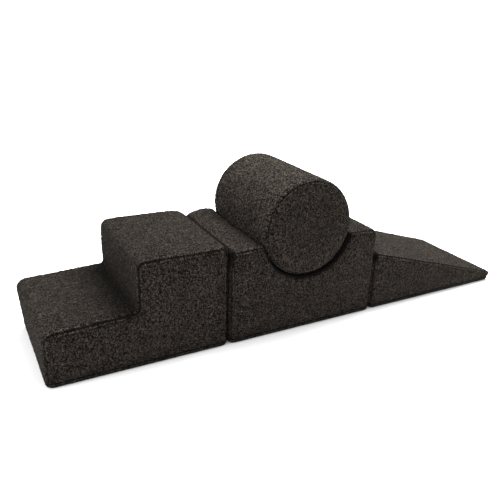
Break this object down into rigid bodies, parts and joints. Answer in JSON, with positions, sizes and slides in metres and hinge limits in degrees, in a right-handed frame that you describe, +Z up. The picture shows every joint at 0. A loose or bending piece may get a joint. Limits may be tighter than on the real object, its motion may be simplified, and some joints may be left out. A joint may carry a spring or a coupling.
{
  "type": "soft play foam climber",
  "caption": "Low soft play climber for toddlers: foam steps, a cradle block with a loose roller lying in its round recess, and a ramp, all in zip-off fleece covers.",
  "frame": {"origin": "middle of the cradle's base, on the floor", "axes": "+X along the row from the steps to the ramp, +Y from the seamed front to the zipped back, +Z up"},
  "size_m": [1.5465, 0.368, 0.4586],
  "materials": {
    "fleece": "matte",
    "base_cloth": "matte",
    "foam": "matte",
    "zip_tape": "matte",
    "zip_metal": "satin"
  },
  "bodies": {
    "steps": {"steps_foam_core": "foam", "steps_wrap_cover": "fleece", "steps_front_cover": "fleece", "steps_back_cover": "fleece", "steps_base_cover": "base_cloth", "steps_zip": "zip_tape"},
    "steps_zip_slider": {"steps_zip_slider": "zip_metal"},
    "steps_zip_pull": {"steps_zip_pull": "zip_metal"},
    "cradle": {"cradle_foam_core": "foam", "cradle_wrap_cover": "fleece", "cradle_front_cover": "fleece", "cradle_back_cover": "fleece", "cradle_base_cover": "base_cloth", "cradle_zip": "zip_tape"},
    "cradle_zip_slider": {"cradle_zip_slider": "zip_metal"},
    "cradle_zip_pull": {"cradle_zip_pull": "zip_metal"},
    "ramp": {"ramp_foam_core": "foam", "ramp_wrap_cover": "fleece", "ramp_front_cover": "fleece", "ramp_back_cover": "fleece", "ramp_base_cover": "base_cloth", "ramp_zip": "zip_tape"},
    "ramp_zip_slider": {"ramp_zip_slider": "zip_metal"},
    "ramp_zip_pull": {"ramp_zip_pull": "zip_metal"},
    "roller": {"roller_foam_core": "foam", "roller_wrap_cover": "fleece", "roller_front_disc": "fleece", "roller_back_disc": "fleece", "roller_zip": "zip_tape"},
    "roller_zip_slider": {"roller_zip_slider": "zip_metal"},
    "roller_zip_pull": {"roller_zip_pull": "zip_metal"}
  },
  "joints": [
    {"name": "steps_slide_away", "type": "slide", "parent": "cradle", "child": "steps", "axis": [-1, 0, 0], "range_m": [0, 0.3]},
    {"name": "ramp_slide_away", "type": "slide", "parent": "cradle", "child": "ramp", "axis": [1, 0, 0], "range_m": [0, 0.3]},
    {"name": "roller_turn", "type": "hinge", "parent": "cradle", "child": "roller", "pos_m": [0, 0, 0.31365], "axis": [0, 1, 0], "continuous": true},
    {"name": "steps_zip_run", "type": "slide", "parent": "steps", "child": "steps_zip_slider", "axis": [-1, 0, 0], "range_m": [0, 0.3274]},
    {"name": "steps_zip_tab", "type": "hinge", "parent": "steps_zip_slider", "child": "steps_zip_pull", "pos_m": [-0.3317, 0.1756, 0.036], "axis": [0, 0, -1], "range_deg": [0, 180]},
    {"name": "cradle_zip_run", "type": "slide", "parent": "cradle", "child": "cradle_zip_slider", "axis": [-1, 0, 0], "range_m": [0, 0.3274]},
    {"name": "cradle_zip_tab", "type": "hinge", "parent": "cradle_zip_slider", "child": "cradle_zip_pull", "pos_m": [0.1637, 0.1756, 0.036], "axis": [0, 0, -1], "range_deg": [0, 180]},
    {"name": "ramp_zip_run", "type": "slide", "parent": "ramp", "child": "ramp_zip_slider", "axis": [-1, 0, 0], "range_m": [0, 0.2574]},
    {"name": "ramp_zip_tab", "type": "hinge", "parent": "ramp_zip_slider", "child": "ramp_zip_pull", "pos_m": [0.5866, 0.1786, 0.036], "axis": [0, 0, -1], "range_deg": [0, 180]},
    {"name": "roller_zip_run", "type": "slide", "parent": "roller", "child": "roller_zip_slider", "axis": [0, -1, 0], "range_m": [0, 0.2174]},
    {"name": "roller_zip_tab", "type": "hinge", "parent": "roller_zip_slider", "child": "roller_zip_pull", "pos_m": [0.12349, 0.1087, 0.38495], "axis": [-0.5, 0, 0.866], "range_deg": [0, 180]}
  ]
}
